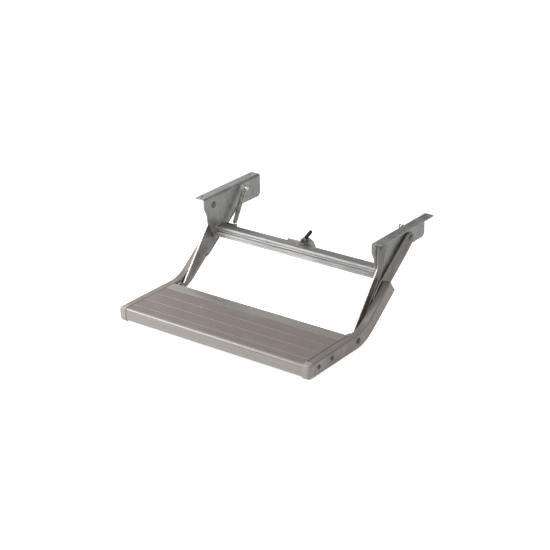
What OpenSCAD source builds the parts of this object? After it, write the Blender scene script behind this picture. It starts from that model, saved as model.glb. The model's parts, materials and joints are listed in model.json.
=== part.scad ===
// Fold-out entry step for a caravan. Two brackets hang under the floor and carry the
// tread on four swinging links, and it folds up and back under the vehicle.
// X runs along the tread, -Y points to where the tread comes out, and Z is up.
// The origin is the centre of the four mounting slots, in the top face of the flanges.

/* [Overall] */
// Width over the outer faces of the two side arms
overall_w = 550; // [480:5:640]
// How far the tread's rear edge stands in front of the mounting centre
step_reach = 224.5; // [215:0.5:235]
// How far the tread's top lies below the mounting face
step_drop = 184; // [176:1:192]
// Angle that the front links turn through from open to stowed
fold_angle = 87; // [84:0.5:88]

/* [Tread] */
// Depth of the tread from its rear edge to its nose
tread_depth = 177.5; // [165:0.5:200]
// Height of the tread
tread_h = 31; // [29:0.5:33]
// Wall thickness of the extruded tread
tread_wall = 2.6; // [2:0.1:3.2]
// Radius on the top edge of the nose
nose_r = 7; // [5:0.5:9]
// Height of the rear wall of the tread
rear_wall_h = 22; // [16:1:28]
// Plain band behind the first grip strip
rear_band = 31; // [26:0.5:36]
// Pitch of the grip strips
strip_pitch = 39; // [36:0.5:41]
// Width of the rib between two grip strips
strip_rib = 2; // [1.5:0.1:3]
// Thickness of a grip strip
strip_t = 0.9; // [0.6:0.1:1.2]
// Outer radius of a screw port in the tread
port_r = 5.5; // [4.5:0.1:6.5]

/* [Side arms] */
// Width of a side arm
arm_w = 20; // [18:0.5:24]
// Height of a side arm
arm_h = 34; // [33:0.5:37]
// Wall thickness of a side arm
arm_wall = 2.4; // [2:0.1:3]
// Radius on the long edges of a side arm
arm_edge_r = 3; // [2:0.5:4]
// Inner radius of the bend in a side arm
bend_r = 83.5; // [76:0.5:90]
// Angle of the rear end of a side arm above the tread
dogleg_angle = 36; // [34:0.5:38]
// Length of the straight rear end of a side arm
dogleg_len = 108.5; // [100:0.5:118]
// Start of the bend behind the tread's rear edge
bend_start = 8; // [5:0.1:8.5]
// Length of the moulded cap at the nose end of an arm
cap_len = 17; // [13:0.5:21]
// Radius on the front edges of the cap
cap_r = 7; // [4:0.5:9]
// Length of the part of a cap or plug that sits inside the arm
insert_len = 12; // [8:0.5:16]
// Thickness of the rim on the rear plug of an arm
plug_rim = 1.8; // [1.2:0.1:3]

/* [Pivots] */
// Front upper pivot in front of the mounting centre
front_pivot_y = 76.5; // [72:0.5:80]
// Front upper pivot below the mounting face
front_pivot_drop = 24; // [23:0.5:26]
// Rear upper pivot below the mounting face
rear_pivot_drop = 39; // [36:0.5:41]
// Lower pivot on the arm behind the tread's rear edge
lower_pivot_inset = 14; // [13.5:0.1:16]
// Lower pivot below the tread's top
lower_pivot_drop = 15; // [13:0.5:18]
// Rear lower pivot from the end of the side arm
upper_pivot_inset = 37.2; // [34:0.1:40]
// Radius of the main pivot pins and bolts
pivot_r = 4.5; // [4:0.1:5]
// Radius of the heads of the main pivot pins and bolts
pivot_head_r = 8.5; // [7.5:0.1:9.5]
// Height of the heads of the main pivot pins and bolts
pivot_head_t = 2.4; // [1.6:0.1:3.2]
// Radius of the rivet at the rear lower pivot
toggle_r = 4; // [3:0.1:4.5]

/* [Links] */
// Thickness of a front link
front_link_t = 3.5; // [3:0.1:4.5]
// Width of a front link between its ends
front_link_w = 31; // [27:0.5:32]
// Bow of the front edge of a front link behind the line of its pivots
front_link_bow = 10; // [9.5:0.5:12]
// Radius of the upper boss of a front link
front_boss_r = 19; // [16:0.5:20]
// Radius of the lower boss of a front link
lower_boss_r = 12; // [11:0.1:12.5]
// Depth of the pressed swage in a front link
swage_depth = 1; // [0.6:0.1:1.4]
// Thickness of a rear link
rear_link_t = 3; // [2.5:0.1:4]
// Radius of the upper end of a rear link
rear_boss_r = 12; // [11:0.5:13]
// Upper edge of a rear link from its centre line
rear_link_rise = 18; // [17:0.5:19]
// Radius of the lower end of a rear link
toggle_boss_r = 15; // [14:0.5:16]
// Height of the folded lip along the upper edge of a rear link
rear_lip = 6; // [4:0.5:8]
// Gap between the layers of the linkage
layer_gap = 0.5; // [0.4:0.05:0.8]

/* [Brackets] */
// Thickness of the bracket sheet
plate_t = 3; // [2.5:0.1:3.6]
// Length of a bracket
bracket_len = 225; // [219:0.5:240]
// Height of the straight part of a bracket
plate_h = 58; // [55:0.5:62]
// Lowest point of a bracket, below the mounting face
tip_drop = 114; // [113:0.5:122]
// Width of the flange
flange_w = 28; // [26:0.5:32]
// Inner radius of the fold between plate and flange
fold_r = 2; // [1:0.1:2.5]
// Middle of a mounting slot from the inner face of the bracket
slot_inset = 14; // [14:0.1:15]
// Middle of a mounting slot from the end of its bracket
slot_end = 16.5; // [12:0.5:20]
// Length of a mounting slot
slot_len = 12; // [10:0.5:15]
// Half the width of a mounting slot
slot_r = 3.5; // [3:0.1:4.5]

/* [Cross beam] */
// Front face of the beam in front of the mounting centre
beam_front = 69.5; // [68:0.5:71]
// Depth of the beam from front to back
beam_d = 28; // [27:0.5:29]
// Height of the beam
beam_h = 27; // [26:0.5:28]
// Top face of the beam below the mounting face
beam_drop = 83; // [82:0.5:84]
// Thickness of the beam's sheet
beam_t = 2.5; // [2:0.1:3]
// Thickness of a plate on the beam's end
beam_end_t = 2.5; // [2:0.1:3]
// Depth of the rolled groove in the beam's front face
groove_depth = 1.5; // [1:0.1:2]
// Radius of the rivets in the beam
rivet_r = 2.5; // [2:0.1:3]

/* [Assist springs] */
// Spring pin behind the mounting centre
spring_pin_y = 36; // [33:0.5:38]
// Spring pin below the mounting face
spring_pin_drop = 12; // [11:0.5:13]
// Spring post from the rear upper pivot, along the rear link
spring_post_along = 83; // [80:0.5:86]
// Spring post from the centre line of the rear link
spring_post_off = 6.8; // [4:0.2:8]
// Radius of the spring pin and the spring post
spring_pin_r = 3; // [2.6:0.1:3.4]
// Radius of the heads on the spring pin and the spring post
spring_head_r = 5.2; // [4.8:0.1:6]
// Middle of the spring from the inner face of the bracket
spring_inset = 11; // [10.5:0.5:14]
// How far the spring leans in from its pin to its post
spring_lean = 7; // [5:0.5:8]
// Outer radius of the spring's coils
spring_r = 6; // [5.4:0.1:6.4]
// Diameter of the spring's wire
spring_wire = 2; // [1.6:0.1:2.2]

/* [Latch lever] */
// Lever pivot to the right of the middle
lever_x = 8.5; // [5:0.5:12]
// Lever pivot below the mounting face
lever_drop = 71; // [70:0.5:72.5]
// Radius of the lever's pivot pin
lever_pin_r = 3; // [2.5:0.1:3.5]
// Angle of the grip above the beam
grip_angle = 51.4; // [45:0.2:58]
// Length of the grip
grip_len = 24.5; // [20:0.5:30]
// Radius of the grip
grip_r = 4.5; // [4:0.1:5.2]
// Radius of the rod inside the grip
rod_r = 2.6; // [2:0.1:3.2]
// Thickness of the lever and of the plate that carries it
lever_t = 2.5; // [2:0.1:3]
// Width of the latch plate
latch_w = 82; // [78:1:90]
// Length of the lever's tail below its pivot
tail_len = 34; // [28:0.5:36]
// Width of the lever's tail
tail_w = 8; // [6:0.5:9]

/* [Hidden] */
$fn = 48;

// Gap left between a fixed pin or insert and its hole
fixed_gap = 0.1;
// Radial clearance of a pin in a hole that turns on it
running_gap = 0.08;
// Gap left along a pivot beside a piece that turns
side_gap = 0.3;
// Distance that a cutting shape runs past the face it cuts
over = 1;
// Step between faces that would else lie in one plane, so that they cross cleanly
seam_step = 0.02;
// Straight pieces in one rounded corner of an outline
corner_steps = 7;

// Layers of the linkage, as distances from the middle of the step
arm_x = overall_w / 2 - arm_w;
rear_link_x = arm_x - layer_gap - rear_link_t;
front_link_x = rear_link_x - layer_gap - front_link_t;
plate_x = front_link_x - layer_gap - plate_t;
beam_x = plate_x - beam_end_t;
spring_x = plate_x - spring_inset;

// Places along the step, as [Y, Z]
tread_rear = [-step_reach, -step_drop];
nose_y = tread_rear[0] - tread_depth;
arm_front_y = nose_y + cap_len;
bend_centre = [tread_rear[0] + bend_start, tread_rear[1] + bend_r];
arm_line_r = bend_r + arm_h / 2;
arm_front_len = bend_centre[0] - arm_front_y;
front_pivot = [-front_pivot_y, -front_pivot_drop];
lower_pivot = tread_rear + [lower_pivot_inset, -lower_pivot_drop];
toggle_pivot = bend_centre
    + arm_line_r * [sin(dogleg_angle), -cos(dogleg_angle)]
    + (dogleg_len - upper_pivot_inset) * [cos(dogleg_angle), sin(dogleg_angle)];

// Shift of the tread from open to stowed, and the rear upper pivot that keeps it level there
stow_shift = front_pivot + turned(lower_pivot - front_pivot, fold_angle) - lower_pivot;
rear_pivot_z = -rear_pivot_drop;
rear_pivot = [toggle_pivot[0] + (stow_shift * stow_shift / 2
    + stow_shift[1] * (toggle_pivot[1] - rear_pivot_z)) / stow_shift[0], rear_pivot_z];

// Directions along each link and square to it
front_along = unit(lower_pivot - front_pivot);
front_across = [-front_along[1], front_along[0]];
front_len = norm(lower_pivot - front_pivot);
rear_along = unit(toggle_pivot - rear_pivot);
rear_across = [-rear_along[1], rear_along[0]];
rear_len = norm(toggle_pivot - rear_pivot);

// Spring fixings as [Y, Z]
spring_top = [spring_pin_y, -spring_pin_drop];
spring_foot = rear_pivot + spring_post_along * rear_along + spring_post_off * rear_across;
spring_len = norm([spring_lean, each (spring_foot - spring_top)]);
spring_tilt = asin(spring_lean / spring_len);
spring_turn = atan2(spring_foot[1] - spring_top[1], spring_foot[0] - spring_top[0]);

// Screws that hold the tread between the arms, as distances in front of the rear edge
screw_at = [89.8, 140];
screw_z = -15;
screw_r = 2.5;
screw_head_r = 5;
screw_head_t = 1.8;
screw_len = 16;

// Thickness of the nut on a pivot bolt
nut_t = 6;

// Latch: back face of the beam, back face of the lever, height of its pivot, start of its rod
ear_y = -beam_front + beam_d;
lever_y = ear_y - 8.5;
lever_z = -lever_drop;
rod_start = 9;

function unit(v) = v / norm(v);
function turned(v, a) = [v[0] * cos(a) - v[1] * sin(a), v[0] * sin(a) + v[1] * cos(a)];
function half_turn(a) = a > 180 ? a - 360 : a < -180 ? a + 360 : a;

// Arc that rounds the corner b between a and c with radius r
function corner(a, b, c, r) = r <= 0 ? [b] :
    let (u = unit(a - b), v = unit(c - b), half = acos(u * v) / 2,
         mid = b + unit(u + v) * r / sin(half), p = b + u * r / tan(half) - mid,
         q = b + v * r / tan(half) - mid, from = atan2(p[1], p[0]),
         sweep = half_turn(atan2(q[1], q[0]) - from))
    [for (i = [0:corner_steps]) mid + r * [cos(from + sweep * i / corner_steps),
        sin(from + sweep * i / corner_steps)]];

// Radius whose arc takes up the length t of both sides of the corner b between a and c
function radius_over(a, b, c, t) = t * tan(acos(unit(a - b) * unit(c - b)) / 2);

// Outline through [x, y, radius] corners
function rounded(p) = [for (i = [0:len(p) - 1])
    let (a = p[(i + len(p) - 1) % len(p)], b = p[i], c = p[(i + 1) % len(p)])
    each corner([a[0], a[1]], [b[0], b[1]], [c[0], c[1]], b[2])];

// Corner given along and across a front link or a rear link
function on_front(s, p, r) = let (v = front_pivot + s * front_along + p * front_across)
    [v[0], v[1], r];
function on_rear(s, p, r) = let (v = rear_pivot + s * rear_along + p * rear_across)
    [v[0], v[1], r];

// Flat shape drawn as (y, z), standing across X from x0
module across(x0, t) {
    translate([x0, 0, 0]) rotate([90, 0, 90]) linear_extrude(t) children();
}

// Flat shape drawn as (x, z), standing across Y from y0 towards -Y
module along_front(y0, t) {
    translate([0, y0, 0]) rotate([90, 0, 0]) linear_extrude(t) children();
}

// Round bar along X at p = [y, z] from x0 to x1
module bar(p, r, x0, x1) {
    translate([x0, p[0], p[1]]) rotate([0, 90, 0]) cylinder(r = r, h = x1 - x0);
}

// Round bar along Y at p = [x, z] from y0 to y1
module bar_y(p, r, y0, y1) {
    translate([p[0], y1, p[1]]) rotate([90, 0, 0]) cylinder(r = r, h = y1 - y0);
}

// Low domed head along X, its flat side at x0 and its crown t further on
module head(p, r, x0, t) {
    translate([x0, p[0], p[1]]) rotate([0, t > 0 ? 90 : -90, 0])
        rotate_extrude() polygon([[0, 0], [r, 0], [r, abs(t) * 0.35], [r * 0.93, abs(t) * 0.62],
            [r * 0.78, abs(t) * 0.84], [r * 0.5, abs(t) * 0.96], [0, abs(t)]]);
}

// Ring along X at p with a hole, used for collars
module ring(p, r, hole, x0, x1) {
    difference() {
        bar(p, r, x0, x1);
        bar(p, hole, x0 - over, x1 + over);
    }
}

module mirrored() {
    mirror([1, 0, 0]) children();
}

// Folded sheet bracket: a plate down the inside of the links and a slotted flange on top
module bracket() {
    half = bracket_len / 2;
    leg = 20;
    lap = 15;
    neck = front_pivot_y + 26;
    corner_hole = [half - 9.5, 7.5 - plate_h];
    corner_hole_r = 2.6;
    middle_hole = [5, -18];
    middle_hole_r = 2;
    color([0.36, 0.36, 0.35]) difference() {
        union() {
            intersection() {
                translate([0, half, 0]) rotate([90, 0, 0]) linear_extrude(bracket_len)
                    polygon(rounded([[plate_x, -leg, 0], [plate_x, 0, fold_r + plate_t],
                        [plate_x + flange_w, 0, 0.8], [plate_x + flange_w, -plate_t, 0.8],
                        [plate_x + plate_t, -plate_t, fold_r], [plate_x + plate_t, -leg, 0]]));
                translate([0, 0, -leg - over]) linear_extrude(leg + 2 * over)
                    polygon(rounded([[plate_x - over, -half, 0], [plate_x + flange_w, -half, 4],
                        [plate_x + flange_w, half, 4], [plate_x - over, half, 0]]));
            }
            across(plate_x, plate_t) polygon(rounded([[-half, -lap, 0], [-half, -plate_h * 0.45, 18],
                [-neck, -plate_h * 0.76, 24], [-neck + 1, -plate_h - 4, 12],
                [-beam_front - 12.5, -tip_drop + 14, 8], [-beam_front - 7, -tip_drop, 6],
                [ear_y + 0.5, -tip_drop, 6], [ear_y + 4.5, -tip_drop + 32, 12],
                [ear_y + 9, -plate_h - 1.5, 14], [0, -plate_h, 40], [half, -plate_h, 12],
                [half, -lap, 0]]));
        }
        for (y = [slot_end - half, half - slot_end]) mounting_slot([plate_x + slot_inset, y]);
        bar(front_pivot, pivot_r + fixed_gap, plate_x - over, plate_x + plate_t + over);
        bar(rear_pivot, pivot_r + fixed_gap, plate_x - over, plate_x + plate_t + over);
        bar(spring_top, spring_pin_r + fixed_gap, plate_x - over, plate_x + plate_t + over);
        for (p = beam_rivet_places())
            bar(p, rivet_r + fixed_gap, plate_x - over, plate_x + plate_t + over);
        bar(corner_hole, corner_hole_r, plate_x - over, plate_x + plate_t + over);
        bar(middle_hole, middle_hole_r, plate_x - over, plate_x + plate_t + over);
    }
}

module mounting_slot(p) {
    shift = slot_len / 2 - slot_r;
    translate([p[0], p[1], -plate_t - over]) {
        for (x = [-shift, shift]) translate([x, 0, 0]) cylinder(r = slot_r, h = plate_t + 2 * over);
        translate([-shift, -slot_r, 0]) cube([2 * shift, 2 * slot_r, plate_t + 2 * over]);
    }
}

function beam_rivet_places() = [for (y = [beam_d * 0.34, beam_d * 0.66])
    [-beam_front + y, -beam_drop - beam_h / 2]];

// Rolled channel between the brackets, open below, with a groove along its front face
module cross_beam() {
    front = -beam_front;
    back = front + beam_d;
    top = -beam_drop;
    foot = top - beam_h;
    lip = 5;
    groove = top - 8;
    color([0.72, 0.72, 0.70]) difference() {
        across(-beam_x, 2 * beam_x) polygon(rounded([
            [front, foot, 0.6], [front, groove - 4.5, 1], [front + groove_depth, groove - 3, 1],
            [front + groove_depth, groove, 1], [front, groove + 1.5, 1], [front, top, 2.4],
            [back, top, 2.4], [back, foot, 0.6], [back - lip, foot, 0.6],
            [back - lip, foot + beam_t, 0.6], [back - beam_t, foot + beam_t, 0.6],
            [back - beam_t, top - beam_t, 0.6], [front + beam_t, top - beam_t, 0.6],
            [front + beam_t, groove + 1.5, 1], [front + groove_depth + beam_t, groove, 1],
            [front + groove_depth + beam_t, groove - 3, 1], [front + beam_t, groove - 4.5, 1],
            [front + beam_t, foot + beam_t, 0.6], [front + lip, foot + beam_t, 0.6],
            [front + lip, foot, 0.6]]));
        translate([lever_x - tail_slot(), lever_y - lever_t - 1, top - beam_t - over])
            cube([tail_slot() + 1.5, lever_t + 2, beam_t + 2 * over]);
        for (x = latch_rivet_x())
            bar_y([x, latch_rivet_z()], rivet_r + fixed_gap, back - beam_t - over, back + over);
    }
}

// Plate on the beam's end, riveted to the tip of the bracket
module beam_end() {
    rim = 2.5;
    color([0.50, 0.50, 0.48]) difference() {
        across(beam_x, beam_end_t) polygon(rounded([
            [-beam_front - rim, -beam_drop + rim, 4], [-beam_front + beam_d + rim, -beam_drop + rim, 4],
            [-beam_front + beam_d + rim, -beam_drop - beam_h - rim, 4],
            [-beam_front - rim, -beam_drop - beam_h - rim, 4]]));
        for (p = beam_rivet_places())
            bar(p, rivet_r + fixed_gap, beam_x - over, plate_x + over);
    }
}

// Rivets with their heads inside the beam and their shanks flush with the bracket
module beam_rivets() {
    color([0.62, 0.62, 0.60]) for (p = beam_rivet_places()) {
        head(p, rivet_r * 1.9, beam_x, -2);
        bar(p, rivet_r, beam_x - 1, plate_x + plate_t);
    }
}

// Headed pin that the front link turns on
module front_pivot_pin() {
    color([0.55, 0.55, 0.53]) {
        head(front_pivot, pivot_head_r, plate_x, -pivot_head_t);
        bar(front_pivot, pivot_r, plate_x - 1, front_link_x + front_link_t + side_gap + 1);
        head(front_pivot, pivot_head_r, front_link_x + front_link_t + side_gap, pivot_head_t);
    }
}

// Headed pin that the rear link turns on
module rear_pivot_pin() {
    color([0.55, 0.55, 0.53]) {
        head(rear_pivot, pivot_head_r, plate_x, -pivot_head_t);
        bar(rear_pivot, pivot_r, plate_x - 1, rear_link_x + rear_link_t + side_gap + 1);
        head(rear_pivot, pivot_head_r, rear_link_x + rear_link_t + side_gap, pivot_head_t);
    }
}

// Collar that holds the rear link clear of the front link
module rear_pivot_collar() {
    color([0.45, 0.45, 0.44])
        ring(rear_pivot, pivot_head_r + 2, pivot_r + fixed_gap, plate_x + plate_t,
            rear_link_x - side_gap);
}

// Pin for the upper eye of the spring
module spring_pin() {
    pin_end = spring_x - spring_r - spring_wire / 2;
    color([0.66, 0.66, 0.64]) {
        bar(spring_top, spring_pin_r, pin_end - 1, plate_x + plate_t);
        bar(spring_top, spring_head_r, plate_x - 2, plate_x);
        head(spring_top, spring_head_r, pin_end, -2);
    }
}

// Pressed link from the bracket down to the side arm, bowed so that it passes over the tread
module front_link() {
    bow = front_link_bow;
    rear = bow + front_link_w;
    boss = front_boss_r;
    foot = lower_boss_r;
    end = front_len + foot;
    front_y = -front_pivot_y - boss;
    crown = [-front_pivot_y + boss * 1.3, -front_pivot_drop + boss];
    shoulder = on_front(front_len * 0.3, rear, 40);
    crown_r = radius_over([front_y, crown[1]], crown, [shoulder[0], shoulder[1]], boss * 1.25);
    color([0.52, 0.51, 0.49]) difference() {
        across(front_link_x, front_link_t) polygon(rounded([
            [front_y, crown[1], boss * 0.99], [crown[0], crown[1], crown_r],
            shoulder, on_front(front_len * 0.68, rear - 1, 40),
            on_front(end, foot - 1.5, foot * 0.8), on_front(end, -foot, foot * 0.99),
            on_front(front_len - foot, -foot, foot * 0.99), on_front(front_len - foot, bow - 3, 4),
            front_bend(front_y, bow)]));
        bar(front_pivot, pivot_r + running_gap, front_link_x - over, front_link_x + front_link_t + over);
        bar(lower_pivot, pivot_r + running_gap, front_link_x - over, front_link_x + front_link_t + over);
        across(front_link_x + front_link_t - swage_depth, swage_depth + over) polygon(rounded([
            on_front(front_len * 0.28, bow + 9, 6), on_front(front_len * 0.28, rear - 9, 6),
            on_front(front_len * 0.72, rear - 10, 6), on_front(front_len * 0.72, bow + 8, 6)]));
    }
}

// Corner where the upright front edge of a front link meets its sloping part
function front_bend(front_y, bow) =
    let (a = on_front(front_len - lower_boss_r, bow - 3, 0), b = on_front(front_len * 0.18, bow + 2.2, 0),
         k = (front_y - a[0]) / (b[0] - a[0]))
    [front_y, a[1] + k * (b[1] - a[1]), 25];

// Link from the bracket to the rear end of the side arm, with a lip folded out along its upper edge
module rear_link() {
    top = rear_boss_r;
    foot = toggle_boss_r;
    rise = rear_link_rise;
    out = rear_link_t + rear_lip;
    lip_start = 10;
    lip_end = rear_len - upper_pivot_inset - rear_lip - 6;
    color([0.55, 0.54, 0.52]) difference() {
        union() {
            across(rear_link_x, rear_link_t) polygon(rounded([
                on_rear(-top, top, top * 0.99), on_rear(-top, -top * 0.7, top * 0.6),
                on_rear(top * 0.4, -rise, top * 0.7), on_rear(rear_len - foot * 1.5, -rise, 15),
                on_rear(rear_len + foot, -foot, foot * 0.95), on_rear(rear_len + foot, foot, foot * 0.99),
                on_rear(spring_post_along / 2, foot, 30)]));
            in_rear_link() translate([0, rear_link_t + seam_step - rise, 0]) rotate([90, 0, 0])
                linear_extrude(rear_link_t) polygon(rounded([[lip_start, 0.5, 0], [lip_end, 0.5, 0],
                    [lip_end, out, rear_lip], [lip_start, out, rear_lip]]));
        }
        bar(rear_pivot, pivot_r + running_gap, rear_link_x - over, rear_link_x + rear_link_t + over);
        bar(toggle_pivot, toggle_r + fixed_gap, rear_link_x - over, rear_link_x + rear_link_t + over);
        bar(spring_foot, spring_pin_r + fixed_gap, rear_link_x - over, rear_link_x + rear_link_t + over);
    }
}

// Frame with X along a rear link from its upper pivot and Z out from its inner face
module in_rear_link() {
    multmatrix([[0, 0, 1, rear_link_x], [rear_along[0], rear_across[0], 0, rear_pivot[0]],
        [rear_along[1], rear_across[1], 0, rear_pivot[1]], [0, 0, 0, 1]]) children();
}

// Rivet at the rear lower pivot, which ends just short of the side arm
module toggle_rivet() {
    color([0.60, 0.60, 0.58]) {
        head(toggle_pivot, toggle_r * 1.5, rear_link_x, -1.6);
        bar(toggle_pivot, toggle_r, rear_link_x - 1, arm_x - side_gap);
    }
}

// Post on the rear link for the lower eye of the spring
module spring_post() {
    post_end = spring_x - spring_lean - spring_r;
    color([0.66, 0.66, 0.64]) {
        bar(spring_foot, spring_pin_r, post_end - 1, rear_link_x + rear_link_t);
        bar(spring_foot, spring_head_r, rear_link_x - 2, rear_link_x);
        head(spring_foot, spring_head_r, post_end, -2);
    }
}

// Profile of close-wound coils of outer radius r, to be turned about the spring's line
function coils(r, wire_r, turns, start) = concat([[r - 2 * wire_r, start]],
    [for (i = [0:turns - 1], k = [0:3]) [r - wire_r + wire_r * cos(45 * k - 90),
        start + wire_r * (2 * i + 1 + sin(45 * k - 90))]],
    [[r - wire_r, start + 2 * wire_r * turns], [r - 2 * wire_r, start + 2 * wire_r * turns]]);

// Close-wound tension spring with an eye at each end
module assist_spring() {
    wire_r = spring_wire / 2;
    eye_r = spring_pin_r + 0.2 + wire_r;
    turns = floor((spring_len - 2 * eye_r) / spring_wire);
    start = (spring_len - turns * spring_wire) / 2;
    color([0.45, 0.40, 0.34]) translate([spring_x, spring_top[0], spring_top[1]])
        rotate([spring_turn, 0, 0]) rotate([0, 0, spring_tilt]) {
            rotate([-90, 0, 0]) rotate_extrude() polygon(coils(spring_r, wire_r, turns, start));
            spring_end(eye_r, wire_r, start);
            translate([0, spring_len, 0]) rotate([180, 0, 0]) spring_end(eye_r, wire_r, start);
        }
}

// Eye of the spring with the wire and the last turn that carry it
module spring_end(eye_r, wire_r, start) {
    rotate([0, 90, 0]) rotate_extrude() translate([eye_r, 0]) circle(r = wire_r, $fn = 16);
    translate([0, eye_r, 0]) rotate([-90, 0, 0]) cylinder(r = wire_r, h = start + wire_r - eye_r, $fn = 16);
    translate([0, start, 0]) rotate([-90, 0, 0]) cylinder(r = spring_r - wire_r, h = wire_r);
}

// Extruded tread: a thin top, a rounded nose, ribs below and ports for the side screws
module tread() {
    w = tread_wall;
    d = tread_depth;
    h = tread_h;
    color([0.56, 0.54, 0.53]) translate([0, tread_rear[0], tread_rear[1]]) difference() {
        union() {
            across(-arm_x, 2 * arm_x) polygon(rounded([[0, 0, 1.2], [-d, 0, nose_r], [-d, -h, 5],
                [-d + 20, -h, 1], [-d + 20, -h + w, 1], [-d + w, -h + w, 2.5],
                [-d + w, -w, nose_r - w], [-w, -w, 1], [-w, -rear_wall_h + w, 1],
                [-11, -rear_wall_h + w, 1], [-11, -rear_wall_h, 1], [0, -rear_wall_h, 2]]));
            for (s = screw_at) tread_rib(s, h);
            tread_rib(screw_at[0] / 2, h);
            for (s = screw_at) bar([-s, screw_z], port_r, -arm_x, arm_x);
        }
        for (s = screw_at) bar([-s, screw_z], screw_r + fixed_gap, -arm_x - over, arm_x + over);
        for (i = [0:3]) translate([-arm_x - over, -strip_from(i) - strip_width(i), -strip_t - fixed_gap])
            cube([2 * arm_x + 2 * over, strip_width(i), strip_t + over]);
    }
}

// Rib under the tread with a foot along its lower edge
module tread_rib(s, h) {
    foot = 12;
    foot_t = 2.4;
    translate([-arm_x, -s - tread_wall / 2, -h]) cube([2 * arm_x, tread_wall, h - 0.5]);
    translate([-arm_x, -s - foot / 2, -h]) cube([2 * arm_x, foot, foot_t]);
}

// Start and width of grip strip i, in front of the rear edge
function strip_from(i) = rear_band + i * strip_pitch + strip_rib / 2;
function strip_width(i) = min(strip_pitch - strip_rib, tread_depth - nose_r - 0.5 - strip_from(i));

// Grip strip i in its recess
module grip_strip(i) {
    side = 1;
    end = arm_x - 0.5;
    from = strip_from(i) + fixed_gap;
    width = strip_width(i) - 2 * fixed_gap;
    color([0.42, 0.39, 0.38]) translate([0, tread_rear[0], tread_rear[1] - strip_t - fixed_gap])
        linear_extrude(strip_t) polygon(rounded([[-end, -from - width, side], [end, -from - width, side],
            [end, -from, side], [-end, -from, side]]));
}

// Section of a side arm in the frame of its bend, shrunk on every side by s
module arm_section(s) {
    r = max(arm_edge_r - s, 0.6);
    polygon(rounded([[bend_r + s, s, r], [bend_r + arm_h - s, s, r],
        [bend_r + arm_h - s, arm_w - s, r], [bend_r + s, arm_w - s, r]]));
}

// Length of arm section s from the cap round the bend to the rear end, run past both by p
module arm_sweep(s, p) {
    rotate([90, 0, 0]) linear_extrude(arm_front_len + p) arm_section(s);
    rotate_extrude(angle = dogleg_angle, $fn = 96) arm_section(s);
    rotate([0, 0, dogleg_angle]) translate([0, dogleg_len + p, 0]) rotate([90, 0, 0])
        linear_extrude(dogleg_len + p + over) arm_section(s + seam_step);
}

// The frame of the arm's bend: its turning axis along X, its start pointing down
module in_bend() {
    translate([arm_x, bend_centre[0], bend_centre[1]]) rotate([0, 90, 0]) children();
}

// Hollow arm along the tread's end, bent up to the rear pivot
module side_arm() {
    outer = arm_x + arm_w + over;
    color([0.50, 0.49, 0.47]) difference() {
        in_bend() arm_sweep(0, 0);
        in_bend() arm_sweep(arm_wall, over);
        bar(lower_pivot, pivot_r + fixed_gap, arm_x - over, outer);
        bar(toggle_pivot, toggle_r + fixed_gap, arm_x - over, arm_x + arm_wall + 0.5);
        for (s = screw_at) bar(tread_rear + [-s, screw_z], screw_r + fixed_gap, arm_x - over, outer);
    }
}

// Moulded cap on the nose end of an arm
module end_cap() {
    gap = arm_wall + fixed_gap;
    top = tread_rear[1];
    color([0.70, 0.69, 0.67]) {
        intersection() {
            across(arm_x, arm_w) polygon(rounded([[arm_front_y, top, arm_edge_r * 0.1],
                [nose_y, top, cap_r], [nose_y, top - arm_h, cap_r], [arm_front_y, top - arm_h, 0.3]]));
            translate([0, 0, top - arm_h - over]) linear_extrude(arm_h + 2 * over)
                polygon(rounded([[arm_x, arm_front_y, 0], [arm_x + arm_w, arm_front_y, 0.3],
                    [arm_x + arm_w, nose_y, cap_r], [arm_x, nose_y, 0.8]]));
            along_front(arm_front_y, cap_len) polygon(rounded([[arm_x, top, arm_edge_r],
                [arm_x + arm_w, top, arm_edge_r], [arm_x + arm_w, top - arm_h, arm_edge_r],
                [arm_x, top - arm_h, arm_edge_r]]));
        }
        along_front(arm_front_y + insert_len, insert_len) polygon(rounded([
            [arm_x + gap, top - gap, 1], [arm_x + arm_w - gap, top - gap, 1],
            [arm_x + arm_w - gap, top - arm_h + gap, 1], [arm_x + gap, top - arm_h + gap, 1]]));
    }
}

// Plug in the rear end of an arm
module arm_plug() {
    color([0.25, 0.25, 0.25]) in_bend() rotate([0, 0, dogleg_angle]) {
        translate([0, dogleg_len + plug_rim, 0]) rotate([90, 0, 0])
            linear_extrude(plug_rim) arm_section(0.3);
        translate([0, dogleg_len, 0]) rotate([90, 0, 0])
            linear_extrude(insert_len) arm_section(arm_wall + fixed_gap);
    }
}

// Screws through the arm into the ports of the tread
module arm_screws() {
    outer = arm_x + arm_w;
    color([0.22, 0.22, 0.22]) for (s = screw_at) {
        head(tread_rear + [-s, screw_z], screw_head_r, outer, screw_head_t);
        bar(tread_rear + [-s, screw_z], screw_r, arm_x - screw_len, outer + 1);
    }
}

// Bolt through the arm and the lower end of the front link
module pivot_bolt() {
    outer = arm_x + arm_w;
    color([0.25, 0.25, 0.25]) {
        head(lower_pivot, pivot_head_r - 1, outer, pivot_head_t);
        bar(lower_pivot, pivot_r, front_link_x - side_gap - nut_t - 1.5, outer + 1);
    }
}

// Collar between the front link and the arm
module pivot_collar() {
    color([0.50, 0.50, 0.48])
        ring(lower_pivot, pivot_head_r, pivot_r + fixed_gap, front_link_x + front_link_t + side_gap,
            arm_x);
}

// Hexagon nut on the inner end of the bolt
module pivot_nut() {
    color([0.60, 0.60, 0.58]) difference() {
        across(front_link_x - side_gap - nut_t, nut_t) translate(lower_pivot)
            circle(r = pivot_r * 1.85, $fn = 6);
        bar(lower_pivot, pivot_r + fixed_gap, front_link_x - side_gap - nut_t - over, front_link_x);
    }
}

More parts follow.
